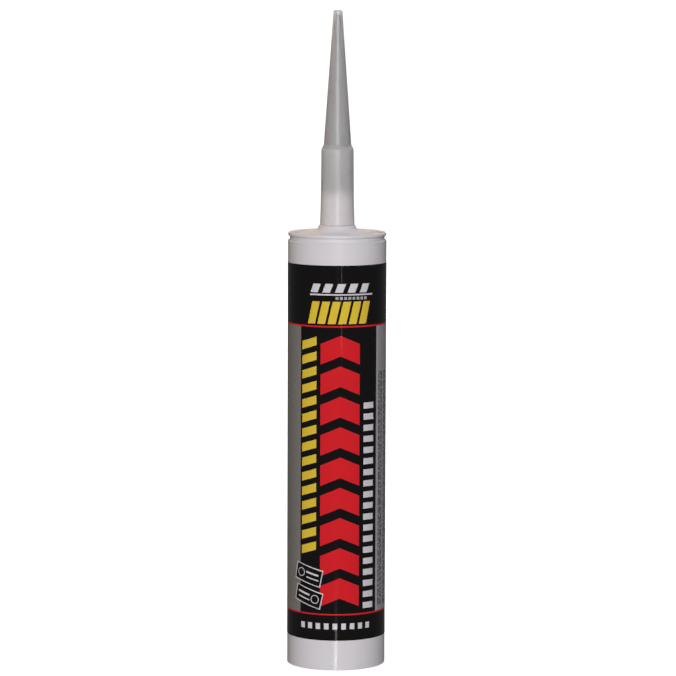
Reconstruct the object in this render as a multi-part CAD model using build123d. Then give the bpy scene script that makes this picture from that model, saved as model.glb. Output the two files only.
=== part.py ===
from build123d import *
import os
from math import degrees, pi, sin, tan

# A construction adhesive cartridge that stands on its rear end. The origin is the middle of
# that end, +Z runs along the cartridge towards the nozzle's tip, and the front of the label
# faces -Y. All lengths are in millimetres.

# Barrel: a plain extruded tube
barrel_radius = 24.3
barrel_wall = 1.25
barrel_length = 211.4
rear_edge_bevel = 0.4
front_edge_bevel = 0.3
lead_in_depth = 1.6
lead_in_width = 0.45

# Head: the moulded end that closes the front of the barrel
rim_height = 4.0
rim_bead_radius = 1.1
rim_bead_inset = 0.05
groove_depth = 0.9
deck_recess = 1.2
deck_wall = 2.0
plug_depth = 4.0
plug_wall = 1.2
plug_clearance = 0.05
boss_radius = 9.1
boss_height = 4.5
flare_radius = 5.25
funnel_radius = 12.5
funnel_corner_wall = 0.7
neck_radius = 6.6
neck_wall = 1.3
neck_height = 16.2
neck_edge_bevel = 0.3

# Foil that closes the neck
foil_thickness = 0.12
foil_margin = 0.1

# Nozzle: a hollow cone on a long socket, closed at its tip
nozzle_height = 105.45
nozzle_seat_gap = 0.15
nozzle_base_radius = 8.53
nozzle_base_edge_bevel = 0.3
nozzle_waist_radius = 7.98
nozzle_waist_height = 23.0
nozzle_bow = 0.07
nozzle_shoulder_height = 37.1
nozzle_chamfer_height = 2.4
nozzle_cone_radius = 6.76
nozzle_tip_radius = 2.13
nozzle_tip_edge_bevel = 0.5
nozzle_tip_wall = 2.2
nozzle_mouth_radius = 0.95
socket_radius = 7.4
socket_depth = 17.3
throat_radius = 6.35
throat_height = 31.5

# Plunger: a moulded cup with two sealing lips, ribbed behind its crown. It stands inside the
# rear end by the recess, which leaves room for 296 ml in front of it.
plunger_length = 22.0
plunger_recess = 13.6
plunger_clearance = 0.05
plunger_lip_height = 3.0
plunger_waist_depth = 0.7
plunger_wall = 1.4
plunger_face_wall = 1.7
plunger_crown_gap = 0.4
plunger_crown_bevel = 1.2
rib_count = 8
rib_thickness = 1.1
rib_depth = 8.0
hub_radius = 5.2
hub_wall = 1.2

# Adhesive: what fills the space from plunger to foil
fill_clearance = 0.05
fill_plunger_gap = 0.3

# Label: one film wrapped round the barrel, lapped at the back
label_rear_margin = 15.0
label_front_margin = 10.9
label_thickness = 0.12
label_lap = 6.0
print_thickness = 0.05
print_clearance = 0.11

# Printed fields. Places across the label are arc lengths from the middle of its front,
# positive to the right.
stripe_height = 0.8
panel_left_edge = 19.6
panel_right_edge = 22.1
panel_seam_margin = 4.0
yellow_column_left = -18.6
yellow_column_width = 8.4
red_column_left = -8.1
red_column_width = 19.8
white_column_left = 14.0
white_column_width = 6.4
masthead_left = -13.6
masthead_width = 33.0
numeral_left = -15.1
numeral_width = 34.0
footline_left = -18.9
footline_width = 38.8
underline_height = 0.7
underline_drop = 0.7
word_lean = 1.6
numeral_lean = 2.6
yellow_climb = 2.6
chevron_stroke_share = 0.56
chevron_rise_share = 0.28
tag_left = -24.4
tag_width = 14.7
tag_drop = 4.2
tag_shift = 1.5
tag_border = 0.7

# Places up the label, as shares of the label's height
upper_stripe_share = 0.839
lower_stripe_share = 0.070
masthead_shares = (0.929, 0.952)
numeral_shares = (0.846, 0.905)
footline_shares = (0.030, 0.047)
red_column_shares = (0.088, 0.815)
yellow_column_shares = (0.229, 0.814)
white_column_shares = (0.084, 0.649)
upper_tag_shares = (0.162, 0.207)
lower_tag_shares = (0.105, 0.148)

# Counts in the printed fields
red_chevron_count = 9
yellow_bar_count = 15
white_bar_count = 19
footline_dash_count = 9
numeral_count = 6
masthead_count = 5
bar_gap_share = 0.22

# Sizes that follow from those above
overrun = barrel_wall
bore_radius = barrel_radius - barrel_wall
rim_top = barrel_length + rim_height
deck_top = rim_top - deck_recess
deck_bottom = deck_top - deck_wall
plug_radius = bore_radius - plug_clearance
plug_bore_radius = plug_radius - plug_wall
plug_bottom = barrel_length - plug_depth
ledge_height = deck_top + boss_height
neck_top = ledge_height + neck_height
neck_bore_radius = neck_radius - neck_wall
funnel_top = ledge_height - funnel_corner_wall
crown_height = deck_bottom - plug_bottom
crown_radius = plug_bore_radius - plunger_crown_gap
plunger_radius = bore_radius - plunger_clearance
plunger_waist_radius = plunger_radius - plunger_waist_depth
plunger_front = plunger_recess + plunger_length
lip_top = plunger_front - crown_height
nozzle_bottom = ledge_height + nozzle_seat_gap
label_bottom = label_rear_margin
label_top = barrel_length - label_front_margin
label_height = label_top - label_bottom
label_radius = barrel_radius + label_thickness
lap_edge = label_radius * pi - label_lap / 2
print_radius = label_radius + print_clearance


def height_at(share):
    """Height above the rear end of a place that is a share of the way up the label."""
    return label_bottom + share * label_height


def turned(*edges):
    """Revolve a closed outline, drawn as (radius, height), about the cartridge's axis."""
    return revolve(Plane.XZ * make_face(edges), axis=Axis.Z)


def ring(outer, inner, low, high):
    """A plain ring about the axis."""
    height = high - low
    middle = Pos(0, 0, low + height / 2)
    return middle * (Cylinder(outer, height) - Cylinder(inner, height + overrun))


def make_barrel():
    """Extruded tube, its ends eased outside and the rear one bevelled inside for the plunger."""
    section = Polyline(
        (bore_radius + lead_in_width, 0),
        (barrel_radius - rear_edge_bevel, 0),
        (barrel_radius, rear_edge_bevel),
        (barrel_radius, barrel_length - front_edge_bevel),
        (barrel_radius - front_edge_bevel, barrel_length),
        (bore_radius, barrel_length),
        (bore_radius, lead_in_depth),
        close=True,
    )
    return turned(*section.edges())


def make_head():
    """Front end in one moulding: plug, seat, groove, rim bead, deck, flared boss and neck.

    The bead's section is an octagon, so that a gun's yoke bears on a flat rim. The boss flares
    out to the deck in two cones, whose corners lie on an arc.
    """
    bead_centre = barrel_radius - rim_bead_inset - rim_bead_radius
    bead_middle = rim_top - rim_bead_radius
    bead_outer = bead_centre + rim_bead_radius
    bead_inner = bead_centre - rim_bead_radius
    half_flat = rim_bead_radius * tan(pi / 8)
    groove_radius = barrel_radius - groove_depth
    flare_middle = deck_top + flare_radius
    flare_centre = boss_radius + (flare_radius**2 - (flare_middle - ledge_height) ** 2) ** 0.5
    flare_diagonal = flare_radius * sin(pi / 4)
    section = Polyline(
        (plug_bore_radius, deck_bottom),
        (plug_bore_radius, plug_bottom),
        (plug_radius, plug_bottom),
        (plug_radius, barrel_length),
        (groove_radius, barrel_length),
        (groove_radius, bead_middle - rim_bead_radius),
        (bead_centre + half_flat, bead_middle - rim_bead_radius),
        (bead_outer, bead_middle - half_flat),
        (bead_outer, bead_middle + half_flat),
        (bead_centre + half_flat, rim_top),
        (bead_centre - half_flat, rim_top),
        (bead_inner, bead_middle + half_flat),
        (bead_inner, deck_top),
        (flare_centre, deck_top),
        (flare_centre - flare_diagonal, flare_middle - flare_diagonal),
        (boss_radius, ledge_height),
        (neck_radius, ledge_height),
        (neck_radius, neck_top - neck_edge_bevel),
        (neck_radius - neck_edge_bevel, neck_top),
        (neck_bore_radius, neck_top),
        (neck_bore_radius, funnel_top),
        (funnel_radius, deck_bottom),
        close=True,
    )
    return turned(*section.edges())


def make_foil_seal():
    """Foil disc welded on the mouth of the neck."""
    disc = Cylinder(neck_radius - neck_edge_bevel - foil_margin, foil_thickness)
    return Pos(0, 0, neck_top + foil_thickness / 2) * disc


def make_nozzle():
    """Socket that bows in to a waist, a chamfered shoulder, and a hollow cone to the tip."""
    base = nozzle_bottom
    waist = base + nozzle_waist_height
    shoulder = base + nozzle_shoulder_height
    cone = shoulder + nozzle_chamfer_height
    tip = base + nozzle_height
    bow_radius = (nozzle_base_radius + nozzle_waist_radius) / 2 - nozzle_bow
    skirt_foot = base + nozzle_base_edge_bevel
    skirt = ThreePointArc(
        (nozzle_base_radius, skirt_foot),
        (bow_radius, (skirt_foot + waist) / 2),
        (nozzle_waist_radius, waist),
    )
    section = Polyline(
        (nozzle_waist_radius, waist),
        (nozzle_waist_radius, shoulder),
        (nozzle_cone_radius, cone),
        (nozzle_tip_radius, tip - nozzle_tip_edge_bevel),
        (nozzle_tip_radius - nozzle_tip_edge_bevel, tip),
        (0, tip),
        (0, tip - nozzle_tip_wall),
        (nozzle_mouth_radius, tip - nozzle_tip_wall),
        (throat_radius, base + throat_height),
        (throat_radius, base + socket_depth),
        (socket_radius, base + socket_depth),
        (socket_radius, base),
        (nozzle_base_radius - nozzle_base_edge_bevel, base),
        (nozzle_base_radius, skirt_foot),
    )
    return turned(skirt, *section.edges())


def make_plunger():
    """Moulded piston: bevelled crown, two lips that seal in the bore, and a ribbed cup behind."""
    front_lip_bottom = lip_top - plunger_lip_height
    rear_lip_top = plunger_recess + plunger_lip_height
    cup_radius = plunger_waist_radius - plunger_wall
    crown_bore_radius = crown_radius - plunger_wall
    face_bottom = plunger_front - plunger_face_wall
    shoulder_bottom = lip_top - plunger_wall
    section = Polyline(
        (0, plunger_front),
        (crown_radius - plunger_crown_bevel, plunger_front),
        (crown_radius, plunger_front - plunger_crown_bevel),
        (crown_radius, lip_top),
        (plunger_radius, lip_top),
        (plunger_radius, front_lip_bottom),
        (plunger_waist_radius, front_lip_bottom - plunger_waist_depth),
        (plunger_waist_radius, rear_lip_top + plunger_waist_depth),
        (plunger_radius, rear_lip_top),
        (plunger_radius, plunger_recess),
        (cup_radius, plunger_recess),
        (cup_radius, shoulder_bottom),
        (crown_bore_radius, shoulder_bottom),
        (crown_bore_radius, face_bottom),
        (0, face_bottom),
        close=True,
    )
    cup = turned(*section.edges())
    rib_bottom = face_bottom - rib_depth
    rib_top = face_bottom + plunger_face_wall / 2
    rib_middle = (rib_bottom + rib_top) / 2
    inner_radius = hub_radius - hub_wall / 2
    rib_length = crown_bore_radius + plunger_wall / 2 - inner_radius
    rib = Pos(inner_radius + rib_length / 2, 0, rib_middle) * Box(
        rib_length, rib_thickness, rib_top - rib_bottom
    )
    hub = ring(hub_radius, hub_radius - hub_wall, rib_bottom, rib_top)
    return cup + hub + [Rot(0, 0, 360 * turn / rib_count) * rib for turn in range(rib_count)]


def make_adhesive():
    """The filling: it follows the plunger's crown, the bore, the plug, the funnel and neck."""
    low = plunger_front + fill_plunger_gap
    crown_side = crown_radius + fill_plunger_gap
    section = Polyline(
        (0, low),
        (crown_side, low),
        (crown_side, lip_top + fill_plunger_gap),
        (bore_radius - fill_clearance, lip_top + fill_plunger_gap),
        (bore_radius - fill_clearance, plug_bottom - fill_clearance),
        (plug_bore_radius - fill_clearance, plug_bottom - fill_clearance),
        (plug_bore_radius - fill_clearance, deck_bottom - fill_clearance),
        (funnel_radius - fill_clearance, deck_bottom - fill_clearance),
        (neck_bore_radius - fill_clearance, funnel_top - fill_clearance),
        (neck_bore_radius - fill_clearance, neck_top),
        (0, neck_top),
        close=True,
    )
    return turned(*section.edges())


def make_label():
    """Film round the barrel, with the strip where its end laps over its start at the back."""
    film = ring(label_radius, barrel_radius, label_bottom, label_top)
    return film + layer(
        label_radius, label_thickness, lap_edge, lap_edge + label_lap, label_bottom, label_top
    )


def layer(radius, thickness, left, right, low, high):
    """A thin patch that follows the barrel's curve, from left to right along the arc."""
    middle = Pos(radius + thickness / 2, (low + high) / 2)
    section = Plane.XZ * middle * Rectangle(thickness, high - low)
    patch = revolve(section, axis=Axis.Z, revolution_arc=degrees((right - left) / label_radius))
    return Rot(0, 0, degrees(left / label_radius) - 90) * patch


def printed_bar(left, right, low, high):
    """A field on the label with upright ends."""
    return layer(print_radius, print_thickness, left, right, low, high)


def printed_shape(*corners):
    """A field on the front of the label with any straight-sided outline, as (arc, height)."""
    reach = print_radius + print_thickness
    outline = Polyline([(label_radius * sin(s / label_radius), z) for s, z in corners], close=True)
    block = extrude(Plane.XZ * make_face(outline), reach + overrun)
    heights = [z for s, z in corners]
    return block & ring(reach, print_radius, min(heights), max(heights))


def chevron(left, right, low, high):
    """An upward arrowhead stroke that fills the given field."""
    rise = chevron_rise_share * (high - low)
    stroke = chevron_stroke_share * (high - low)
    middle = (left + right) / 2
    arm = high - rise
    return printed_shape(
        (left, arm - stroke),
        (middle, high - stroke),
        (right, arm - stroke),
        (right, arm),
        (middle, high),
        (left, arm),
    )


def bars_up(left, width, shares, count, climb=0):
    """A column of equal bars between two heights, one above the other, climbing to the right."""
    low, high = height_at(shares[0]), height_at(shares[1])
    right = left + width
    pitch = (high - climb - low) / count
    bar = pitch - bar_gap_share * pitch
    feet = [low + pitch * step for step in range(count)]
    return [
        printed_shape((left, z), (right, z + climb), (right, z + climb + bar), (left, z + bar))
        for z in feet
    ]


def bars_across(left, width, shares, count, lean=0):
    """A row of equal bars side by side between two heights, their tops leaning right."""
    low, high = height_at(shares[0]), height_at(shares[1])
    pitch = (width - lean) / count
    bar = pitch - bar_gap_share * pitch
    starts = [left + pitch * step for step in range(count)]
    return [
        printed_shape((s, low), (s + bar, low), (s + bar + lean, high), (s + lean, high))
        for s in starts
    ]


def slanted_tag(shares, inset):
    """The slanted box near the foot of the label, or a smaller one inside it."""
    low, high = height_at(shares[0]) + inset, height_at(shares[1]) - inset
    left, right = tag_left + inset, tag_left + tag_width - inset
    return printed_shape(
        (left, low),
        (right, low - tag_drop),
        (right + tag_shift, high - tag_drop),
        (left + tag_shift, high),
    )


def make_print_red():
    """Red ink: the two stripes and the column of chevrons."""
    half = stripe_height / 2
    stripes = [
        printed_bar(-lap_edge, lap_edge, height_at(share) - half, height_at(share) + half)
        for share in (upper_stripe_share, lower_stripe_share)
    ]
    low, high = height_at(red_column_shares[0]), height_at(red_column_shares[1])
    pitch = (high - low) / red_chevron_count
    right = red_column_left + red_column_width
    column = [
        chevron(red_column_left, right, low + pitch * step, low + pitch * (step + 1))
        for step in range(red_chevron_count)
    ]
    return Compound(children=[*stripes, *column])


def make_print_yellow():
    """Yellow ink: the row of big leaning bars and the column of small climbing ones."""
    row = bars_across(numeral_left, numeral_width, numeral_shares, numeral_count, numeral_lean)
    column = bars_up(
        yellow_column_left,
        yellow_column_width,
        yellow_column_shares,
        yellow_bar_count,
        yellow_climb,
    )
    return Compound(children=[*row, *column])


def make_print_white():
    """White ink: masthead, column, foot line and the borders of the two slanted boxes."""
    masthead = bars_across(masthead_left, masthead_width, masthead_shares, masthead_count, word_lean)
    line_top = height_at(masthead_shares[0]) - underline_drop
    line = printed_bar(
        masthead_left, masthead_left + masthead_width, line_top - underline_height, line_top
    )
    column = bars_up(white_column_left, white_column_width, white_column_shares, white_bar_count)
    foot = bars_across(footline_left, footline_width, footline_shares, footline_dash_count)
    borders = [
        slanted_tag(shares, 0) - slanted_tag(shares, tag_border)
        for shares in (upper_tag_shares, lower_tag_shares)
    ]
    return Compound(children=[*masthead, line, *column, *foot, *borders])


def make_print_grey():
    """Grey ink: a panel on each side between the stripes, notched round the slanted boxes."""
    half = stripe_height / 2
    low, high = height_at(lower_stripe_share) + half, height_at(upper_stripe_share) - half
    far_edge = lap_edge - panel_seam_margin
    left_panel = printed_bar(-far_edge, -panel_left_edge, low, high)
    right_panel = printed_bar(panel_right_edge, far_edge, low, high)
    notches = [slanted_tag(shares, 0) for shares in (upper_tag_shares, lower_tag_shares)]
    return Compound(children=[left_panel - notches, right_panel])


nodes = {
    "barrel": make_barrel,
    "head": make_head,
    "foil_seal": make_foil_seal,
    "nozzle": make_nozzle,
    "plunger": make_plunger,
    "adhesive": make_adhesive,
    "label": make_label,
    "print_red": make_print_red,
    "print_yellow": make_print_yellow,
    "print_white": make_print_white,
    "print_grey": make_print_grey,
}

os.makedirs("parts", exist_ok=True)
for node, make in nodes.items():
    export_step(make(), f"parts/{node}.step")
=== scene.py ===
# %% [markdown]
# # A cartridge of construction adhesive, dressed in Blender
#
# The solids of the cartridge were drawn elsewhere and come in here as a fixed frame, in metres, with
# the middle of the rear end at the origin and the nozzle pointing up +Z. This lesson makes the pieces
# that show: smooth turned walls, a wrapped film with ink on it, a nozzle of milky plastic, and a soft
# studio to look at them in. Each piece takes its place from the frame, so nothing is fitted by eye.

# %% Load the frame
import bmesh
import bpy
import numpy as np
from mathutils import Euler, Matrix, Vector


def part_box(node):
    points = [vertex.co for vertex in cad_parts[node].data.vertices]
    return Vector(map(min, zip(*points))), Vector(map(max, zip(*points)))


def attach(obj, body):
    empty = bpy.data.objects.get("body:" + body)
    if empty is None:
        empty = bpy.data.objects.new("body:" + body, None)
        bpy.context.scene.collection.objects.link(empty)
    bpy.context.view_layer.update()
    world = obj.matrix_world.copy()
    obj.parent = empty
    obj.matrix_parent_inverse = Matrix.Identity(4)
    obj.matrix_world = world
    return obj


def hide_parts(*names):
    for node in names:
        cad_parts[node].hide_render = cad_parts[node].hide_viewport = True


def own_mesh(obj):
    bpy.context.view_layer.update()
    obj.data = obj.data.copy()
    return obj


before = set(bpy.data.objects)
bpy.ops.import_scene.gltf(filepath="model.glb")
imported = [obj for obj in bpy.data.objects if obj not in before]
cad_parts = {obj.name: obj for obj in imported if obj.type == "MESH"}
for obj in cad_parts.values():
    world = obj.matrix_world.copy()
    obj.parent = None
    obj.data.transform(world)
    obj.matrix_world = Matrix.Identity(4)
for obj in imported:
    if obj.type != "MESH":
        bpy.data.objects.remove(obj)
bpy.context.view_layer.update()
mm = 0.001

# %% [markdown]
# ## Measuring the frame
#
# A turned piece only needs radii and heights. The sizes of the pieces are in millimetres, and they are
# made metres when a mesh is built. The studio is in metres throughout.

# %% Radii and heights from the frame
def radius_of(node):
    """The greatest radius of a turned solid."""
    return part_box(node)[1].x / mm


def span_of(node):
    """The lowest and the highest point of a solid."""
    low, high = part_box(node)
    return low.z / mm, high.z / mm


barrel_r = radius_of("barrel")
barrel_l = span_of("barrel")[1]
plug_low, neck_z = span_of("head")
rim_r = radius_of("head")
nozzle_low, tip_z = span_of("nozzle")
nozzle_r = radius_of("nozzle")
plunger_rear, plunger_front = span_of("plunger")
plunger_r = radius_of("plunger")
label_low, label_high = span_of("label")
film = radius_of("label") - barrel_r
print("barrel %.1f by %.1f mm, neck to %.1f, tip at %.1f" % (2 * barrel_r, barrel_l, neck_z, tip_z))

# %% [markdown]
# ## Turned pieces
#
# The barrel, its head, the nozzle and the plunger are round, so each is one profile carried round the
# axis. A cylinder primitive would do for none of them, because what makes a moulding look real is its
# edges: light runs along a rounded edge and dies on a sharp one. So a profile is first written with
# sharp corners, where its sizes are known, and then each corner is given its own small radius.

# %% Round the corners of a profile
def rounded(corners, steps=6, hold=0.25):
    """Points of a closed profile from rows of (radius, height, corner radius).

    A corner becomes an arc tangent to both of its sides: it starts and ends r / tan(half angle) from
    the corner, and its middle point lies r / sin(half angle) along the bisector. One more point is held
    a short way outside each end of the arc, so that the long face beyond it is shaded as flat as it is.
    """
    corners = np.array(corners, float)
    points = []
    for k, (x, z, r) in enumerate(corners):
        here = np.array([x, z])
        if r == 0:
            points.append(here[None])
            continue
        to_last = corners[k - 1, :2] - here
        to_next = corners[(k + 1) % len(corners), :2] - here
        to_last /= np.linalg.norm(to_last)
        to_next /= np.linalg.norm(to_next)
        half = np.arccos(np.clip(to_last @ to_next, -1, 1)) / 2
        middle = here + (to_last + to_next) / np.linalg.norm(to_last + to_next) * r / np.sin(half)
        first = here + to_last * r / np.tan(half) - middle
        last = here + to_next * r / np.tan(half) - middle
        share = np.linspace(0, 1, steps + 1)[:, None]
        turn = np.pi - 2 * half
        bend = (np.sin((1 - share) * turn) * first + np.sin(share * turn) * last) / np.sin(turn)
        held = middle + np.array([first + hold * r * to_last, last + hold * r * to_next])
        points.append(np.vstack([held[:1], middle + bend, held[1:]]))
    return np.vstack(points)


def arc(centre, radius, start, stop, steps):
    """Rows of (radius, height, 0) along an arc, between two angles in degrees."""
    angle = np.radians(np.linspace(start, stop, steps + 1))
    x = centre[0] + radius * np.cos(angle)
    z = centre[1] + radius * np.sin(angle)
    return [(a, b, 0) for a, b in zip(x, z)]


# %% Faces of a grid that closes on itself both ways
def ring_faces(rows, columns):
    """Four-sided faces between neighbours of a grid whose last row and column meet the first."""
    index = np.arange(rows * columns).reshape(rows, columns)
    right = np.roll(index, -1, axis=1)
    above = np.roll(index, -1, axis=0)
    return np.stack([index, right, np.roll(right, -1, axis=0), above], -1).reshape(-1, 4)


def turned(profile, segments):
    """A closed profile carried round the axis.

    The point (r, z) at angle a goes to x = r sin a, y = -r cos a, height z, so angle 0 is the front.
    """
    angle = np.linspace(0, 2 * np.pi, segments, endpoint=False)
    radius, height = profile[:, :1], profile[:, 1:]
    x, y = radius * np.sin(angle), -radius * np.cos(angle)
    return np.stack([x, y, height + 0 * angle], axis=-1), ring_faces(len(profile), segments)


# %% Make an object of vertices and faces
weld, sliver = 0.0005, 0.0001


def finished(name, shape, material, body, crease=35, merge=True):
    """A named object that rides on a body, its faces outwards and its edges crisp past a turn.

    Merging makes one corner of those that are closer than weld, which closes the poles of a turned
    piece, and takes out faces thinner than sliver.
    """
    vertices, faces = shape
    mesh = bpy.data.meshes.new(name)
    face_rows = faces.tolist() if isinstance(faces, np.ndarray) else faces
    mesh.from_pydata((vertices.reshape(-1, 3) * mm).tolist(), [], face_rows)
    work = bmesh.new()
    work.from_mesh(mesh)
    if merge:
        bmesh.ops.remove_doubles(work, verts=work.verts, dist=weld * mm)
        bmesh.ops.dissolve_degenerate(work, edges=work.edges, dist=sliver * mm)
    bmesh.ops.recalc_face_normals(work, faces=work.faces)
    work.to_mesh(mesh)
    work.free()
    mesh.shade_smooth()
    mesh.set_sharp_from_angle(angle=np.radians(crease))
    mesh.materials.append(material)
    obj = bpy.data.objects.new(name, mesh)
    bpy.context.scene.collection.objects.link(obj)
    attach(obj, body)
    print("%s: %d faces" % (name, len(mesh.polygons)))
    return obj


# %% [markdown]
# ## Plastics
#
# Polyethylene is never quite opaque: light goes a little way in and comes out softened. So each plastic
# here is a Principled shader with some subsurface, a roughness that wanders slightly and a fine bump.
# The barrel is extruded, so its bump is drawn out along the axis into faint die lines. The moulded
# pieces have an even grain instead. All patterns sit on object coordinates, which stay with a piece.

# %% A small kit for materials
noise_range = (0.3, 0.7)    # nearly all of a noise lies between these


def new_material(name):
    """A material with a Principled shader on its output."""
    material = bpy.data.materials.new(name)
    material.use_nodes = True
    tree = material.node_tree
    tree.nodes.clear()
    output = tree.nodes.new("ShaderNodeOutputMaterial")
    shader = tree.nodes.new("ShaderNodeBsdfPrincipled")
    tree.links.new(shader.outputs["BSDF"], output.inputs["Surface"])
    return material, tree, shader


def noise(tree, scale, stretch=(1, 1, 1), detail=3.0):
    """A noise on the object's own coordinates, drawn out by a stretch along each axis."""
    place = tree.nodes.new("ShaderNodeTexCoord")
    mapping = tree.nodes.new("ShaderNodeMapping")
    mapping.inputs["Scale"].default_value = stretch
    field = tree.nodes.new("ShaderNodeTexNoise")
    field.inputs["Scale"].default_value = scale
    field.inputs["Detail"].default_value = detail
    tree.links.new(place.outputs["Object"], mapping.inputs["Vector"])
    tree.links.new(mapping.outputs["Vector"], field.inputs["Vector"])
    return field.outputs["Fac"]


def mapped(tree, value, span, results, kind="LINEAR"):
    """A value carried from one span over to another: evenly, or eased at both ends."""
    node = tree.nodes.new("ShaderNodeMapRange")
    node.interpolation_type = kind
    for socket, number in zip(("From Min", "From Max", "To Min", "To Max"), (*span, *results)):
        node.inputs[socket].default_value = number
    tree.links.new(value, node.inputs["Value"])
    return node.outputs["Result"]


def spread(tree, value, low, high):
    """The range of a noise carried over to low to high."""
    return mapped(tree, value, noise_range, (low, high))


def tint(tree, value, colour, change):
    """A colour that a noise makes darker and lighter by a share of itself."""
    ramp = tree.nodes.new("ShaderNodeValToRGB")
    for element, position, sign in zip(ramp.color_ramp.elements, noise_range, (-1, 1)):
        element.position = position
        element.color = (*(np.array(colour) * (1 + sign * change)), 1)
    tree.links.new(value, ramp.inputs["Fac"])
    return ramp.outputs["Color"]


def bump(tree, shader, height, depth):
    """Feed a height field to a shader's normal; depth is in millimetres."""
    node = tree.nodes.new("ShaderNodeBump")
    node.inputs["Distance"].default_value = depth * mm
    tree.links.new(height, node.inputs["Height"])
    tree.links.new(node.outputs["Normal"], shader.inputs["Normal"])


# %% White polyethylene
white, mottle = (0.80, 0.765, 0.80), 0.012
plastic_ior = 1.5
even, drawn_out = (1, 1, 1), (1, 1, 0.02)


def white_plastic(name, stretch, grain, roughness):
    """White polyethylene: faintly mottled, a soft gloss, shallow subsurface."""
    material, tree, shader = new_material(name)
    colour = tint(tree, noise(tree, 60, stretch), white, mottle)
    tree.links.new(colour, shader.inputs["Base Color"])
    tree.links.new(spread(tree, noise(tree, 180, stretch), *roughness), shader.inputs["Roughness"])
    shader.inputs["IOR"].default_value = plastic_ior
    shader.inputs["Subsurface Weight"].default_value = 0.15
    shader.inputs["Subsurface Radius"].default_value = (1.0, 0.8, 0.7)
    shader.inputs["Subsurface Scale"].default_value = 1.2 * mm
    bump(tree, shader, noise(tree, grain, stretch, 2.0), 0.008)
    return material


barrel_plastic = white_plastic("barrel_plastic", drawn_out, grain=900, roughness=(0.14, 0.18))
head_plastic = white_plastic("head_plastic", even, grain=500, roughness=(0.42, 0.50))
plunger_plastic = white_plastic("plunger_plastic", even, grain=500, roughness=(0.34, 0.44))

# %% [markdown]
# ## The barrel
#
# The real barrel is cut from a long extruded tube, with one wall thickness all the way and no taper.
# The wall's section is turned: its cut edges are eased, and a bevel inside the rear end leads the
# plunger in.

# %% Barrel
barrel_wall = 1.25
bore_r = barrel_r - barrel_wall
lead_in_width, lead_in_depth = 0.45, 1.6
barrel_profile = rounded(
    [
        (bore_r + lead_in_width, 0, 0.1),
        (barrel_r, 0, 0.5),
        (barrel_r, barrel_l, 0.3),
        (bore_r, barrel_l, 0),
        (bore_r, lead_in_depth, 0.3),
    ]
)
barrel = finished("barrel_tube", turned(barrel_profile, 360), barrel_plastic, "cartridge")
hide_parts("barrel")

# %% [markdown]
# ## The moulded head
#
# The head is one moulding. From its lower end up there are a plug inside the barrel, a narrow groove
# where it seats, a round rim bead, a shallow deck, and a boss with a flared foot that carries the ledge
# and the neck. Bead and flare are true arcs with enough points for their highlights to run smoothly.

# %% Head
deck_rise, deck_wall = 2.8, 2.0
deck_z = barrel_l + deck_rise
plug_clear, plug_wall = 0.05, 1.2
plug_r = bore_r - plug_clear
plug_bore_r = plug_r - plug_wall
rim_rise, bead_r = 4.0, 1.1
bead_x, bead_z = rim_r - bead_r, barrel_l + rim_rise - bead_r
groove_depth = 0.9
groove_r = barrel_r - groove_depth
boss_r, ledge_rise = 9.1, 4.5
ledge_z = deck_z + ledge_rise
# the flare's arc touches the deck and ends on the boss at the ledge
flare_r = 5.25
flare_z = deck_z + flare_r
flare_x = boss_r + np.sqrt(flare_r**2 - (flare_z - ledge_z) ** 2)
flare_end = 180 + np.degrees(np.arcsin((flare_z - ledge_z) / flare_r))
neck_r, neck_wall = 6.6, 1.3
neck_bore_r = neck_r - neck_wall
funnel_r, funnel_z = 12.5, ledge_z - 0.7
head_profile = rounded(
    [
        (plug_bore_r, deck_z - deck_wall, 0.3),
        (plug_bore_r, plug_low, 0.15),
        (plug_r, plug_low, 0.3),
        (plug_r, barrel_l, 0),
        (groove_r, barrel_l, 0),
        (groove_r, bead_z - bead_r + 0.1, 0.1),
        *arc((bead_x, bead_z), bead_r, -60, 185, 28),
        (bead_x - bead_r + 0.02, deck_z, 0.1),
        *arc((flare_x, flare_z), flare_r, 270, flare_end, 16)[:-1],
        (boss_r, ledge_z, 0.45),
        (neck_r, ledge_z, 0.25),
        (neck_r, neck_z, 0.25),
        (neck_bore_r, neck_z, 0.15),
        (neck_bore_r, funnel_z, 0.5),
        (funnel_r, deck_z - deck_wall, 0.5),
    ]
)
head = finished("head_moulding", turned(head_profile, 360), head_plastic, "cartridge")
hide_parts("head")

# %% [markdown]
# ## The thread on the neck
#
# The nozzle screws on. The thread is a ridge with sloping flanks that climbs the neck: its section is
# carried along a helix, and it grows from nothing at the start and fades out at the end, as a moulded
# thread does.

# %% Neck thread
thread_turns, thread_pitch = 3.5, 3.0
thread_height, thread_root, thread_crest = 0.6, 1.9, 0.7
thread_sink = 0.15
thread_z = ledge_z + 2.6
thread_fade, least_height, least_width = 4, 0.02, 0.3


def helix_ridge(steps_per_turn=72):
    """A four-sided section carried along a helix.

    At turn t the section sits at height z + pitch * t. Its height and its width grow with fade, which
    climbs from the nearer end by thread_fade a turn up to 1: the height is fade times the full height,
    and the width least + (1 - least) * fade times the full width.
    """
    turn = np.linspace(0, thread_turns, int(thread_turns * steps_per_turn) + 1)[:, None]
    fade = np.clip(np.minimum(turn, thread_turns - turn) * thread_fade, least_height, 1)
    out = np.array([-thread_sink, thread_height, thread_height, -thread_sink])
    up = np.array([-thread_root, -thread_crest, thread_crest, thread_root]) / 2
    radius = neck_r + np.where(out > 0, out * fade, out)
    height = thread_z + thread_pitch * turn + up * (least_width + (1 - least_width) * fade)
    angle = 2 * np.pi * turn
    vertices = np.stack([radius * np.sin(angle), -radius * np.cos(angle), height], axis=-1)
    faces = ring_faces(len(turn), 4)[:-4]
    end = 4 * len(turn) - 4
    return vertices, np.vstack([faces, [[3, 2, 1, 0], [end, end + 1, end + 2, end + 3]]])


finished("neck_thread", helix_ridge(), head_plastic, "cartridge", crease=50)

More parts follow.
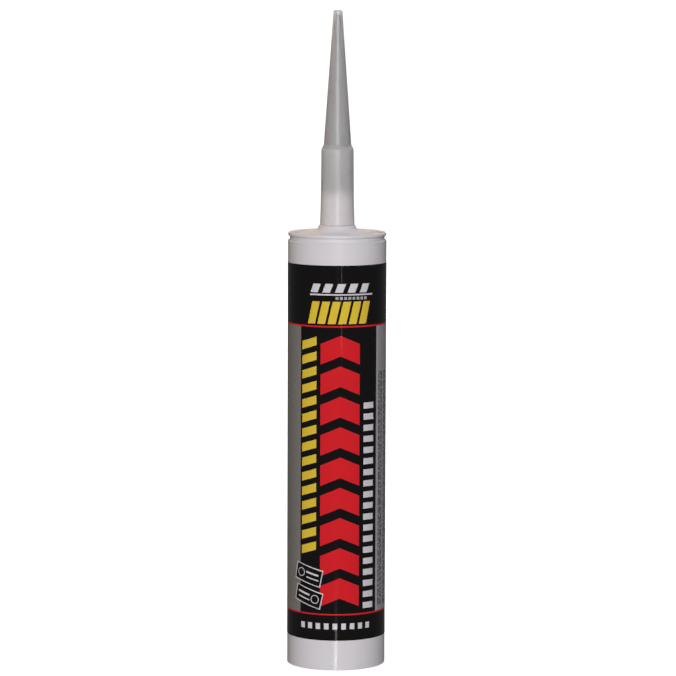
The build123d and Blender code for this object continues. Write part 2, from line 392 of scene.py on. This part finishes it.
# %% [markdown]
# ## The nozzle
#
# The nozzle is natural polyethylene with no white in it, so it is milky. Along the hollow cone light goes
# right through the wall and gets lost, which leaves the cone an even grey, while the skirt looks white
# because the white neck and its thread show through it. One colour cannot show that. So the nozzle is
# hollow, and that whiteness is painted light in its plastic: with the height change the share of light
# that goes in, small at the skirt and large above it, how far that light reaches before it comes out,
# and the base colour, which follows the share. The place of the change wavers a little.

# %% Nozzle plastic
# the skirt's whiteness is painted light, in place of the white neck seen through the wall
skirt_white, cone_white = (0.78, 0.725, 0.735), (0.935, 0.86, 0.915)
share_span, shares = (227.5, 240.0), (0.12, 0.9)    # heights, shares of light that go in
reach_span, reaches = (230.0, 262.0), (6.0 * mm, 18.0 * mm)    # heights, how far that light reaches
waver = 0.7 * mm


def along(tree, height, span, values):
    """A value that eases from the first to the second as the height climbs through a span."""
    return mapped(tree, height, (span[0] * mm, span[1] * mm), values, "SMOOTHSTEP")


def milky_plastic():
    """Natural polyethylene under a satin skin: see-through above, with painted whiteness low on the skirt.
    """
    material, tree, shader = new_material("nozzle_plastic")
    place = tree.nodes.new("ShaderNodeTexCoord")
    axes = tree.nodes.new("ShaderNodeSeparateXYZ")
    tree.links.new(place.outputs["Object"], axes.inputs["Vector"])
    height = tree.nodes.new("ShaderNodeMath")
    tree.links.new(axes.outputs["Z"], height.inputs[0])
    tree.links.new(spread(tree, noise(tree, 140, detail=1.0), -waver, waver), height.inputs[1])
    clear_share = along(tree, height.outputs["Value"], share_span, shares)
    tree.links.new(clear_share, shader.inputs["Subsurface Weight"])
    reach = along(tree, height.outputs["Value"], reach_span, reaches)
    tree.links.new(reach, shader.inputs["Subsurface Scale"])
    mix = tree.nodes.new("ShaderNodeMix")
    mix.data_type = "RGBA"
    tree.links.new(clear_share, mix.inputs["Factor"])
    for socket, colour in (("A", skirt_white), ("B", cone_white)):
        tree.links.new(tint(tree, noise(tree, 70, (1, 1, 0.3)), colour, mottle), mix.inputs[socket])
    tree.links.new(mix.outputs["Result"], shader.inputs["Base Color"])
    tree.links.new(spread(tree, noise(tree, 240), 0.27, 0.34), shader.inputs["Roughness"])
    shader.inputs["IOR"].default_value = plastic_ior
    shader.inputs["Subsurface Radius"].default_value = (1.0, 1.0, 1.0)
    bump(tree, shader, noise(tree, 520, (1, 1, 0.5), 3.0), 0.03)
    return material


nozzle_plastic = milky_plastic()

# %% Nozzle
waist_r, waist_h = 8.05, 23.0
shoulder_r, shoulder_h = 7.92, 37.1
cone_r, cone_h = 6.76, 39.5
tip_r, tip_wall, mouth_r = 2.13, 2.2, 0.95
socket_r, socket_h = 7.4, 17.3
throat_r, throat_h = 6.35, 31.5
cone_wall, sink = 1.35, 0.1

# from foot to waist the skirt widens along a parabola: r = foot + (waist - foot) (1 - (1 - share)^2)
share = np.linspace(0, 1, 13)[1:-1]
skirt_r = nozzle_r + (waist_r - nozzle_r) * (1 - (1 - share) ** 2)
nozzle_profile = rounded(
    [
        (nozzle_r, nozzle_low - sink, 0.12),
        *[(r, nozzle_low + h, 0) for r, h in zip(skirt_r, share * waist_h)],
        (waist_r, nozzle_low + waist_h, 0),
        (shoulder_r, nozzle_low + shoulder_h, 0.8),
        (cone_r, nozzle_low + cone_h, 0.8),
        (tip_r, tip_z, 0.8),
        (0, tip_z, 0),
        (0, tip_z - tip_wall, 0),
        (mouth_r, tip_z - tip_wall, 0.2),
        (cone_r - cone_wall, nozzle_low + cone_h, 2),
        (throat_r, nozzle_low + throat_h, 2),
        (socket_r, nozzle_low + socket_h, 1),
        (socket_r, nozzle_low - sink, 0.12),
    ]
)
nozzle = finished("nozzle_cone", turned(nozzle_profile, 224), nozzle_plastic, "nozzle")
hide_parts("nozzle")

# %% [markdown]
# ## Film, and how things are wrapped on it
#
# Film and ink share one idea. A field is drawn flat, as an arc length s across the label and a height z,
# between a low edge and a high edge. Rolling it round the barrel turns s into the angle s / R. The same
# functions make the film, which is one long field that overlaps itself at the back, and every patch of
# ink, so the ink always follows the film.

# %% Roll flat fields round the barrel
film_r = barrel_r + film
half_turn = np.pi * film_r
lap, lap_ramp, lap_step = 6.0, 1.5, 0.1


def lap_rise(s):
    """How far the film stands up at arc length s, where its end rides up on its start.

    It is nothing before the ramp and a full step after it, and step * t * t * (3 - 2t) a share t along.
    """
    share = np.clip((s - (half_turn - lap / 2 - lap_ramp)) / lap_ramp, 0, 1)
    return lap_step * share * share * (3 - 2 * share)


def placed(s, z, radius):
    """Points of the flat label rolled to a radius: x = r sin(s / R), y = -r cos(s / R)."""
    radius = radius + lap_rise(s)
    angle = s / film_r
    return np.stack([radius * np.sin(angle), -radius * np.cos(angle), z + 0 * radius], axis=-1)


def resampled(edge, columns):
    """An edge, given by a few points, as a number of points spread evenly over its runs."""
    edge = np.array(edge, float)
    knots, share = np.linspace(0, 1, len(edge)), np.linspace(0, 1, columns)
    return np.stack([np.interp(share, knots, edge[:, k]) for k in (0, 1)], axis=-1)


def slabs(fields, inner, outer, columns, rows=2):
    """Thin closed patches, each between a low and a high edge, from radius inner to outer.

    A patch is a grid that blends from its low edge to its high edge, once for each skin, and a strip of
    narrow walls that follows the grid's border.
    """
    edges = np.array([[resampled(edge, columns) for edge in field] for field in fields])
    up = np.linspace(0, 1, rows)[None, :, None, None]
    grid = edges[:, :1] * (1 - up) + edges[:, 1:] * up
    s, z = grid[:, None, ..., 0], grid[:, None, ..., 1]
    vertices = placed(s, z, np.array([inner, outer])[None, :, None, None])
    index = np.arange(2 * rows * columns).reshape(2, rows, columns)
    quads = np.stack([index[:, :-1, :-1], index[:, :-1, 1:], index[:, 1:, 1:], index[:, 1:, :-1]], -1)
    border = [np.concatenate([i[0, :-1], i[:-1, -1], i[-1, :0:-1], i[:0:-1, 0]]) for i in index]
    walls = np.stack([border[0], np.roll(border[0], -1), np.roll(border[1], -1), border[1]], -1)
    one = np.vstack([quads.reshape(-1, 4), walls])
    return vertices, (one[None] + index.size * np.arange(len(fields))[:, None, None]).reshape(-1, 4)


def hoops(loops, inner, outer, per_side):
    """Closed outlines: each loop is (outside points, inside points), with a flat band between them."""
    def closed(points):
        return resampled([*points, points[0]], per_side * len(points) + 1)[:-1]

    vertices, faces = [], []
    for outside, inside in loops:
        a, b = closed(outside), closed(inside)
        section = [placed(p[:, 0], p[:, 1], r) for p, r in ((a, inner), (a, outer), (b, outer), (b, inner))]
        faces.append(ring_faces(4, len(a)) + sum(len(v) for v in vertices))
        vertices.append(np.concatenate(section))
    return np.vstack(vertices), np.vstack(faces)


def bar(left, right, low, high, lean=0.0, climb=0.0):
    """A field with straight sides: lean shifts its top to the right, climb lifts its right end."""
    return [(left, low), (right, low + climb)], [(left + lean, high), (right + lean, high + climb)]


# %% [markdown]
# ## Film and ink
#
# The film is black polypropylene, and its ink lies under a thin varnish. So film and inks share one
# smooth gloss and the faint waviness of a wrapped film, and they differ in colour only. A gloss this
# smooth keeps the black deep, because it mirrors only what stands in one direction.

# %% Film and ink finishes
def gloss_film(name, colour, change=0.02, roughness=(0.05, 0.075)):
    """Printed film: one colour that hardly wanders, a clear gloss, a faint waviness."""
    material, tree, shader = new_material(name)
    tree.links.new(tint(tree, noise(tree, 140), colour, change), shader.inputs["Base Color"])
    tree.links.new(spread(tree, noise(tree, 90), *roughness), shader.inputs["Roughness"])
    shader.inputs["IOR"].default_value = 1.47
    bump(tree, shader, noise(tree, 60, (1, 1, 0.5), 2.0), 0.15)
    return material


black_film = gloss_film("label_film", (0.006, 0.005, 0.0055))
red_ink = gloss_film("red_ink", (0.74, 0.016, 0.024))
yellow_ink = gloss_film("yellow_ink", (0.82, 0.575, 0.045))
white_ink = gloss_film("white_ink", (0.735, 0.705, 0.75))
warm_grey_ink = gloss_film("warm_grey_ink", (0.235, 0.22, 0.205), 0.03)
cool_grey_ink = gloss_film("cool_grey_ink", (0.37, 0.35, 0.375), 0.03)
pale_grey_ink = gloss_film("pale_grey_ink", (0.44, 0.42, 0.44), 0.03)

# %% Film
lap_end = half_turn + lap / 2
film_wrap = finished(
    "label_wrap",
    slabs([bar(-lap_end, lap_end, label_low, label_high)], barrel_r, film_r, 721),
    black_film,
    "cartridge",
)
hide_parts("label")

# %% [markdown]
# ## The print
#
# The print is made of plain motifs in red, yellow, white and grey: arrowheads that point to the nozzle,
# hatched and slanted bars, ladders and small dashes. Each patch of ink is a field on the film and
# stands up from it by the thickness of ink, so it is crisp from any distance and needs no picture.

# %% Lay ink on the film
ink, ink_gap = 0.012, 0.002
long_step = 0.45    # a finer step, for fields that go a long way round


def printed(name, groups, material, level=1, step=0.9):
    """Lay groups of fields on the film; level says how many layers of ink lie up to their top.

    A flat face over an arc of length c dips below it by c * c / 8R, so a field is cut into columns, and
    into rows where its sides lean, each no longer than a step.
    """
    skin = film_r + ink_gap + ink * (level - 1)
    vertices, faces = [], []
    for fields in groups:
        widths = [np.ptp([point[0] for edge in field for point in edge]) for field in fields]
        leans = [abs(field[1][0][0] - field[0][0][0]) for field in fields]
        columns = 2 * int(np.ceil(max(widths) / step / 2)) + 1
        rows = int(np.ceil(max(leans) / step)) + 1
        group_vertices, group_faces = slabs(fields, skin, skin + ink, columns, max(rows, 2))
        faces.append(group_faces + sum(len(v) for v in vertices))
        vertices.append(group_vertices.reshape(-1, 3))
    shape = np.vstack(vertices), np.vstack(faces)
    return finished(name, shape, material, "cartridge", merge=False)


def ladder(left, width, low, high, count, gap_share, climb=0.0):
    """Equal bars one above the other, whose right ends may climb."""
    pitch = (high - climb - low) / count
    starts = low + pitch * np.arange(count)
    return [bar(left, left + width, z, z + pitch * (1 - gap_share), climb=climb) for z in starts]


def row_of(left, width, low, high, count, gap_share, lean=0.0):
    """Equal bars side by side, whose tops may lean to the right."""
    pitch = (width - lean) / count
    starts = left + pitch * np.arange(count)
    return [bar(s, s + pitch * (1 - gap_share), low, high, lean=lean) for s in starts]


# %% Stripes and arrowheads in red
stripe_height, stripe_short = 0.8, 0.4
lower_stripe_z, upper_stripe_z = 28.0, 170.6
lap_edge = half_turn - lap / 2
stripes = [
    bar(-lap_edge, lap_end - stripe_short, z - stripe_height / 2, z + stripe_height / 2)
    for z in (lower_stripe_z, upper_stripe_z)
]
arrow_left, arrow_width, arrow_low, arrow_high, arrow_count = -8.1, 19.8, 31.3, 166.2, 9
arrow_pitch = (arrow_high - arrow_low) / arrow_count
arrow_stroke, arrow_rise = 0.68 * arrow_pitch, 0.28 * arrow_pitch


def arrowhead(high):
    """An upward arrowhead: both of its edges climb to the middle and fall again."""
    s = (arrow_left, arrow_left + arrow_width / 2, arrow_left + arrow_width)
    high_edge = list(zip(s, (high - arrow_rise, high, high - arrow_rise)))
    low_edge = [(place, z - arrow_stroke) for place, z in high_edge]
    return low_edge, high_edge


arrows = [arrowhead(arrow_high - arrow_pitch * k) for k in range(arrow_count)]
printed("red_stripes", [stripes], red_ink, step=long_step)
red_arrows = printed("red_arrows", [arrows], red_ink)
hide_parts("print_red")

# %% Yellow bars
hatch = ladder(left=-18.6, width=8.4, low=57.5, high=168.6, count=15, gap_share=0.42, climb=2.6)
slanted = row_of(left=-15.1, width=34.0, low=171.9, high=182.9, count=6, gap_share=0.24, lean=2.6)
yellow_bars = printed("yellow_bars", [hatch, slanted], yellow_ink)
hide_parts("print_yellow")

# %% White bars
masthead = row_of(left=-13.6, width=33.0, low=187.3, high=191.6, count=5, gap_share=0.38, lean=1.6)
underline = [bar(left=-13.9, right=19.0, low=185.9, high=186.6)]
rungs = ladder(left=14.0, width=6.2, low=30.6, high=135.4, count=19, gap_share=0.45)
foot_dashes = row_of(left=-18.9, width=38.8, low=20.6, high=23.6, count=9, gap_share=0.45)
white_bars = printed("white_bars", [masthead, underline, rungs, foot_dashes], white_ink)
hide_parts("print_white")
small_row = row_of(left=-0.7, width=16.8, low=183.8, high=185.2, count=8, gap_share=0.3)
printed("small_dashes", [small_row], pale_grey_ink)

# %% Grey panels and the pale strip beside the right one
panel_low, panel_high = lower_stripe_z + stripe_height / 2, upper_stripe_z - stripe_height / 2
panel_end = lap_edge - 4.0
left_start, right_start, strip_end = -19.6, 22.4, 23.9
left_field = bar(-panel_end, left_start, panel_low, panel_high)
right_field = bar(right_start, panel_end, panel_low, panel_high)
strip_field = bar(right_start, strip_end, panel_low, panel_high)
printed("left_panel", [[left_field]], warm_grey_ink, step=long_step)
right_panel = printed("right_panel", [[right_field]], cool_grey_ink, step=long_step)
printed("panel_strip", [[strip_field]], pale_grey_ink, level=2)
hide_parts("print_grey")

# %% [markdown]
# ## Small print
#
# The panels at the sides have a fine texture, as small print has from a step away. Columns of little
# dashes make it. Their lengths come from a seeded random draw, so no two columns are alike and the
# texture is the same each time.

# %% Columns of dashes on the panels
draw = np.random.default_rng(7)
small_print_ink = gloss_film("small_print_ink", (0.035, 0.034, 0.037))
column_pitch, column_width, ragged_top = 1.3, 0.7, 3
shortest, longest, dash_gap, most_dashes = 0.8, 4.2, 0.8, 60


def dash_column(s, low, high):
    """Dashes of drawn lengths, one above the other with gaps between them, up to a height."""
    lengths = draw.uniform(shortest, longest, most_dashes)
    stops = low + np.cumsum(lengths + dash_gap)
    return [
        bar(s, s + column_width, stop - length - dash_gap, stop - dash_gap)
        for stop, length in zip(stops, lengths)
        if stop < high
    ]


# for each block of columns: its left edge, how many columns, and where they start and end
blocks = (
    (24.4, 3, 31, 151),
    (30.0, 12, 31, 151),
    (47.5, 14, 31, 96),
    (47.5, 14, 104, 151),
    (-66.5, 18, 36, 160),
)
dashes = []
for block_left, column_count, block_low, block_high in blocks:
    for column in range(column_count):
        column_top = block_high - draw.uniform(0, ragged_top)
        dashes += dash_column(block_left + column_pitch * column, block_low, column_top)
printed("small_print", [dashes], small_print_ink, level=2, step=2.0)

# %% [markdown]
# ## The two tags
#
# Near the foot two black tags with pale outlines are printed askew over the panel and the column. Each
# tag is a black field, an outline that runs round it without a break, and inside it a small ring and two
# plain lines.

# %% Tags
tag_left, tag_width, tag_lean, tag_line = -23.4, 15.4, 1.7, 0.5
ring_r, ring_hole_r = 2.2, 1.8
mark_half, mark_lean = 3.4, 0.2


def tag_corners(low, high, drop, inset=0.0):
    """The four corners of a tag that leans right and falls to the right, drawn in by an inset."""
    left, width = tag_left + inset, tag_width - 2 * inset
    low, high = low + inset, high - inset
    return [
        (left, low),
        (left + width, low - drop),
        (left + width + tag_lean, high - drop),
        (left + tag_lean, high),
    ]


def across_tag(share):
    """The arc length at a share of the tag's width, halfway up the tag."""
    return tag_left + tag_lean / 2 + tag_width * share


def circle(centre, radius, count=24):
    """Points round a circle on the flat label."""
    angle = np.linspace(0, 2 * np.pi, count, endpoint=False)
    return list(zip(centre[0] + radius * np.cos(angle), centre[1] + radius * np.sin(angle)))


def tag_mark(s, z, fall, thick):
    """A line on a tag: it falls to the right as the tag does, and its top is shifted to the right."""
    low_edge = [(s - mark_half, z + fall), (s + mark_half, z - fall)]
    return low_edge, [(place + mark_lean, height + thick) for place, height in low_edge]


# for each tag: the two ends of its left side, its fall, and the places of its ring and its lines
tags = ((45.0, 53.5, 3.8, 0.24, 0.66), (34.4, 42.5, 4.2, 0.76, 0.34))
# for each line of a tag: how far above the middle it is, and how thick
marks = ((0.9, 0.9), (-1.5, 0.6))
tag_fields, tag_loops, tag_marks = [], [], []
for low, high, drop, ring_share, mark_share in tags:
    corners = tag_corners(low, high, drop)
    tag_fields.append((corners[:2], corners[:1:-1]))
    tag_loops.append((corners, tag_corners(low, high, drop, tag_line)))
    ring = across_tag(ring_share), (low + high) / 2 - drop * ring_share
    tag_loops.append((circle(ring, ring_r), circle(ring, ring_hole_r)))
    mark_s = across_tag(mark_share)
    mark_z = (low + high) / 2 - drop * (mark_s - tag_left) / tag_width
    fall = drop * mark_half / tag_width
    tag_marks += [tag_mark(mark_s, mark_z + offset, fall, thick) for offset, thick in marks]

printed("tag_ground", [tag_fields], black_film, level=2, step=0.6)
tag_skin = film_r + ink_gap + 2 * ink
outlines = hoops(tag_loops, tag_skin, tag_skin + ink, per_side=12)
finished("tag_outline", outlines, white_ink, "cartridge", merge=False)
printed("tag_lines", [tag_marks], white_ink, level=3)

# %% [markdown]
# ## Inside: foil, filling and plunger
#
# The foil shows when the nozzle is off, and the plunger at the open rear end. The plunger is a moulded
# cup with a flat crown, two lips and ribs. The filling shortens as the plunger comes forward; here it
# gets a mesh of its own.

# %% Foil
def foil_metal():
    """Lacquered aluminium foil, crumpled very finely."""
    material, tree, shader = new_material("foil")
    tree.links.new(tint(tree, noise(tree, 300), (0.44, 0.48, 0.55), 0.08), shader.inputs["Base Color"])
    shader.inputs["Metallic"].default_value = 1.0
    tree.links.new(spread(tree, noise(tree, 500), 0.48, 0.6), shader.inputs["Roughness"])
    bump(tree, shader, noise(tree, 900, detail=4.0), 0.08)
    return material


foil_r = radius_of("foil_seal")
foil_low, foil_high = span_of("foil_seal")
foil_dish = 0.05    # how far the foil is pressed down over the neck's bore
foil_profile = rounded(
    [
        (0, foil_low, 0),
        (foil_r, foil_low, 0),
        (foil_r, foil_high, 0.04),
        (neck_bore_r + 0.4, foil_high, 0),
        (neck_bore_r - 0.2, foil_high - foil_dish, 0),
        (0, foil_high - foil_dish, 0),
    ]
)
foil = finished("foil_disc", turned(foil_profile, 128), foil_metal(), "cartridge")
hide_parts("foil_seal")

# %% Filling
def paste():
    """Tan adhesive paste with a wet sheen."""
    material, tree, shader = new_material("adhesive")
    tree.links.new(tint(tree, noise(tree, 120), (0.44, 0.33, 0.19), 0.08), shader.inputs["Base Color"])
    tree.links.new(spread(tree, noise(tree, 200), 0.25, 0.45), shader.inputs["Roughness"])
    bump(tree, shader, noise(tree, 200), 0.2)
    return material


clear, crown_gap = 0.05, 0.3
crown_clear, crown_height = 0.4, 4.8
crown_r, lip_z = plug_bore_r - crown_clear, plunger_front - crown_height
fill_low, fill_r = plunger_front + crown_gap, bore_r - clear
fill_profile = rounded(
    [
        (0, fill_low, 0),
        (crown_r + crown_gap, fill_low, 0),
        (crown_r + crown_gap, lip_z + crown_gap, 0),
        (fill_r, lip_z + crown_gap, 0),
        (fill_r, plug_low - clear, 0),
        (plug_bore_r - clear, plug_low - clear, 0),
        (plug_bore_r - clear, deck_z - deck_wall - clear, 0),
        (funnel_r - clear, deck_z - deck_wall - clear, 0),
        (neck_bore_r - clear, funnel_z - clear, 0),
        (neck_bore_r - clear, neck_z - clear, 0),
        (0, neck_z - clear, 0),
    ]
)
filling = finished("filling", turned(fill_profile, 96), paste(), "cartridge")
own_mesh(filling)
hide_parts("adhesive")

# %% Plunger
lip_height, lip_edge, waist = 3.0, 0.5, 0.7
cup_wall, face_wall = 1.4, 1.7
face_low = plunger_front - face_wall
plunger_profile = rounded(
    [
        (0, plunger_front, 0),
        (crown_r, plunger_front, 1.2),
        (crown_r, lip_z, 0.4),
        (plunger_r, lip_z, lip_edge),
        (plunger_r, lip_z - lip_height, 0.3),
        (plunger_r - waist, lip_z - lip_height - waist, 0.5),
        (plunger_r - waist, plunger_rear + lip_height + waist, 0.5),
        (plunger_r, plunger_rear + lip_height, 0.3),
        (plunger_r, plunger_rear, lip_edge),
        (plunger_r - waist - cup_wall, plunger_rear, 0.4),
        (plunger_r - waist - cup_wall, lip_z - lip_height, 0.5),
        (crown_r - cup_wall, lip_z, 0.5),
        (crown_r - cup_wall, face_low, 0.8),
        (0, face_low, 0),
    ]
)
cup = turned(plunger_profile, 240)
plunger_cup = finished("plunger_cup", cup, plunger_plastic, "plunger")
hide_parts("plunger")

# %% Ribs of the plunger
rib_count, rib_thick, rib_depth = 8, 1.1, 8.0
hub_r, hub_wall = 5.2, 1.2
rib_low, rib_high = face_low - rib_depth, face_low + face_wall / 2
hub_profile = rounded(
    [
        (hub_r, rib_low, 0.3),
        (hub_r, rib_high, 0),
        (hub_r - hub_wall, rib_high, 0),
        (hub_r - hub_wall, rib_low, 0.3),
    ]
)
finished("plunger_hub", turned(hub_profile, 96), plunger_plastic, "plunger")


def ribs():
    """Upright plates between hub and wall, each eased along its lower edge.

    A plate's section, seen along its length, is a tall outline with two small arcs at its foot; it runs
    from the hub's middle to the wall's middle and is turned about the axis once for each rib.
    """
    half, ease, arc_points = rib_thick / 2, 0.25, 5
    angle = np.radians(np.linspace(0, 90, arc_points))
    side = half - ease + ease * np.sin(angle)
    foot = rib_low + ease - ease * np.cos(angle)
    across = np.concatenate([side[::-1], -side, [-half, half]])
    height = np.concatenate([foot[::-1], foot, [rib_high, rib_high]])
    outward = np.array([hub_r - hub_wall / 2, crown_r - cup_wall / 2])[:, None]
    turn = (2 * np.pi / rib_count * np.arange(rib_count))[:, None, None]
    x = outward * np.cos(turn) - across * np.sin(turn)
    y = outward * np.sin(turn) + across * np.cos(turn)
    vertices = np.stack([x, y, height + 0 * x], axis=-1)
    count = len(across)
    k = np.arange(count)
    sides = np.stack([k, np.roll(k, -1), count + np.roll(k, -1), count + k], -1)
    faces = []
    for rib in range(rib_count):
        base = 2 * count * rib
        faces += (sides + base).tolist() + [(k + base).tolist(), (k[::-1] + count + base).tolist()]
    return vertices, faces


finished("plunger_ribs", ribs(), plunger_plastic, "plunger", merge=False)

# %% [markdown]
# ## The studio
#
# The cartridge was photographed with a long lens from just above the height of its tip. The focal
# length, in pixels of the photograph, and the camera's place come from the rims and the film's edges:
# they are curves whose bend tells how far above or below them the camera is. Angles are in degrees.

# %% Camera
focal_pixels, frame_pixels, sensor = 3355.3, 676, 36.0
camera_place, downward, tilt = (0.00056, -1.6527, 0.3412), 6.171, 0.207
camera_data = bpy.data.cameras.new("camera")
camera_data.sensor_width = sensor
camera_data.lens = focal_pixels / frame_pixels * sensor
camera = bpy.data.objects.new("camera", camera_data)
bpy.context.scene.collection.objects.link(camera)
camera.location = camera_place
pitch, roll = np.radians(90 - downward), np.radians(tilt)
camera.rotation_euler = (Euler((pitch, 0, 0)).to_matrix() @ Matrix.Rotation(roll, 3, "Z")).to_euler()
bpy.context.scene.camera = camera

# %% [markdown]
# ## Floor and tent
#
# Floor and surroundings are one white sheet: flat under the cartridge, then curved up into a dome. It
# glows more and more with the distance from the cartridge, so that there is a soft shadow where the
# barrel stands and an even white farther out. Only the camera sees it: if the plastics saw so much
# white too, their sides would not fall away to grey as they do in the photograph. From below it is
# clear, so that the underside can be looked at.

# %% Floor
glow_span, glow_range = (0.03, 0.22), (0.62, 1.0)    # metres from the axis, strength


def sheet_white():
    """White sheet: lit near the middle, glowing farther out, clear from below."""
    material, tree, shader = new_material("sheet_white")
    shader.inputs["Base Color"].default_value = (0.9, 0.9, 0.9, 1)
    shader.inputs["Roughness"].default_value = 0.8
    shader.inputs["Specular IOR Level"].default_value = 0.0
    shader.inputs["Emission Color"].default_value = (1, 1, 1, 1)
    place = tree.nodes.new("ShaderNodeTexCoord")
    distance = tree.nodes.new("ShaderNodeVectorMath")
    distance.operation = "LENGTH"
    tree.links.new(place.outputs["Object"], distance.inputs[0])
    glow = mapped(tree, distance.outputs["Value"], glow_span, glow_range, "SMOOTHSTEP")
    tree.links.new(glow, shader.inputs["Emission Strength"])
    side = tree.nodes.new("ShaderNodeNewGeometry")
    clear_shader = tree.nodes.new("ShaderNodeBsdfTransparent")
    mix = tree.nodes.new("ShaderNodeMixShader")
    tree.links.new(side.outputs["Backfacing"], mix.inputs["Fac"])
    tree.links.new(shader.outputs["BSDF"], mix.inputs[1])
    tree.links.new(clear_shader.outputs["BSDF"], mix.inputs[2])
    tree.links.new(mix.outputs["Shader"], tree.nodes["Material Output"].inputs["Surface"])
    return material


def tent(floor_r=5.0, bend_r=2.0, rings=24, segments=96):
    """A flat disc that bends up along a quarter circle and closes overhead like a dome, in metres.

    The bend's ring at angle a has radius floor + bend sin a and height bend - bend cos a; the dome's
    ring at angle b has radius outer cos b and stands outer sin b above the bend.
    """
    bend = np.linspace(0, np.pi / 2, rings)
    dome = np.linspace(0, np.pi / 2, rings)[1:]
    outer = floor_r + bend_r
    radius = np.concatenate([[0.0, 0.5], floor_r + bend_r * np.sin(bend), outer * np.cos(dome)])
    height = np.concatenate([[0.0, 0.0], bend_r - bend_r * np.cos(bend), bend_r + outer * np.sin(dome)])
    angle = np.linspace(0, 2 * np.pi, segments, endpoint=False)
    x, y = radius[:, None] * np.cos(angle), radius[:, None] * np.sin(angle)
    vertices = np.stack([x, y, height[:, None] + 0 * angle], axis=-1)
    return vertices, ring_faces(len(radius), segments)[: (len(radius) - 1) * segments]


def laid_sheet():
    """The tent as an object, its white side inwards, that shows to the camera and to nothing else."""
    vertices, faces = tent()
    mesh = bpy.data.meshes.new("white_sheet")
    mesh.from_pydata(vertices.reshape(-1, 3).tolist(), [], faces[:, ::-1].tolist())
    work = bmesh.new()
    work.from_mesh(mesh)
    bmesh.ops.remove_doubles(work, verts=work.verts, dist=1e-5)
    work.to_mesh(mesh)
    work.free()
    mesh.shade_smooth()
    mesh.materials.append(sheet_white())
    sheet = bpy.data.objects.new("white_sheet", mesh)
    bpy.context.scene.collection.objects.link(sheet)
    sheet.visible_diffuse = False
    sheet.visible_glossy = False
    sheet.visible_shadow = False
    return sheet


white_sheet = laid_sheet()
print("white sheet: %d faces" % len(white_sheet.data.polygons))

# %% [markdown]
# ## Light
#
# The key light stands above the camera and a little behind it: a round wall lit that way falls off
# towards both sides with the cosine of its angle. A warm light at the left and two large ones high
# behind reach the sides, the back and the deck of the head, and a bounce and a light under the floor
# lift what faces down. The last five are strips. A smooth upright wall mirrors a strip as one fine line:
# its place across the wall follows the strip's place beside the camera, and its ends follow the
# strip's ends.

# %% Lights
target = Vector((0, 0, 0.17))


def stand(azimuth, elevation, distance):
    """A place round the cartridge: azimuth 0 is in front, positive to the right, in degrees."""
    a, e = np.radians(azimuth), np.radians(elevation)
    return target + distance * Vector((np.sin(a) * np.cos(e), -np.cos(a) * np.cos(e), np.sin(e)))


def area_light(name, place, aim, width, height, power, colour=(1, 1, 1)):
    """A rectangular soft light at a place, turned to face a point."""
    data = bpy.data.lights.new(name, "AREA")
    data.shape = "RECTANGLE"
    data.size, data.size_y = width, height
    data.energy = power
    data.color = colour
    lamp = bpy.data.objects.new(name, data)
    bpy.context.scene.collection.objects.link(lamp)
    lamp.location = place
    lamp.rotation_euler = (aim - Vector(place)).to_track_quat("-Z", "Y").to_euler()
    return lamp


# for each light on a stand: azimuth, elevation, distance, width, height, power at 1 m, colour
plain, warm, pale = (1, 1, 1), (1.0, 0.74, 0.45), (1.0, 0.94, 0.88)
stands = (
    ("key", -2, 22, 2.2, 0.35, 0.5, 4.8, plain),
    ("side_left", -105, 15, 2.0, 0.8, 0.8, 0.85, warm),
    ("rear_left", -160, 35, 2.0, 1.4, 1.4, 2.8, warm),
    ("rear_right", 150, 35, 2.0, 1.4, 1.4, 3.0, pale),
)
for name, azimuth, elevation, distance, width, height, strength, colour in stands:
    place = stand(azimuth, elevation, distance)
    area_light(name, place, target, width, height, strength * distance**2, colour)
area_light("bounce", (0, -1.0, -0.6), target * 0.3, width=0.9, height=0.3, power=1.85)
area_light("under_fill", (0, 0, -1.4), target, width=0.4, height=0.4, power=4.0)

# %% Strips of light
strip_y = -1.9
# for each strip: how far right of the axis it stands, its lower and upper end, its width and its power
strips = (
    ("foot_strip", 0, -0.51, -0.372, 0.12, 1.18),
    ("tall_strip", 0.04, 0.16, 0.62, 0.14, 5.2),
    ("film_strip", 0.36, -0.06, 0.045, 0.015, 0.026),
    ("right_strip", 0.36, 0.045, 0.2, 0.015, 0.08),
    ("left_strip", 0.075, 0.045, 0.17, 0.015, 0.05),
)
for name, side, low, high, width, power in strips:
    place = Vector((side, strip_y, (low + high) / 2))
    area_light(name, place, Vector((0, 0, place.z)), width, high - low, power)

# %% Room
world = bpy.data.worlds.new("room")
world.use_nodes = True
room = world.node_tree.nodes["Background"]
room.inputs["Color"].default_value = (1, 1, 1, 1)
room.inputs["Strength"].default_value = 0.09
bpy.context.scene.world = world
bpy.context.scene.view_settings.view_transform = "Standard"
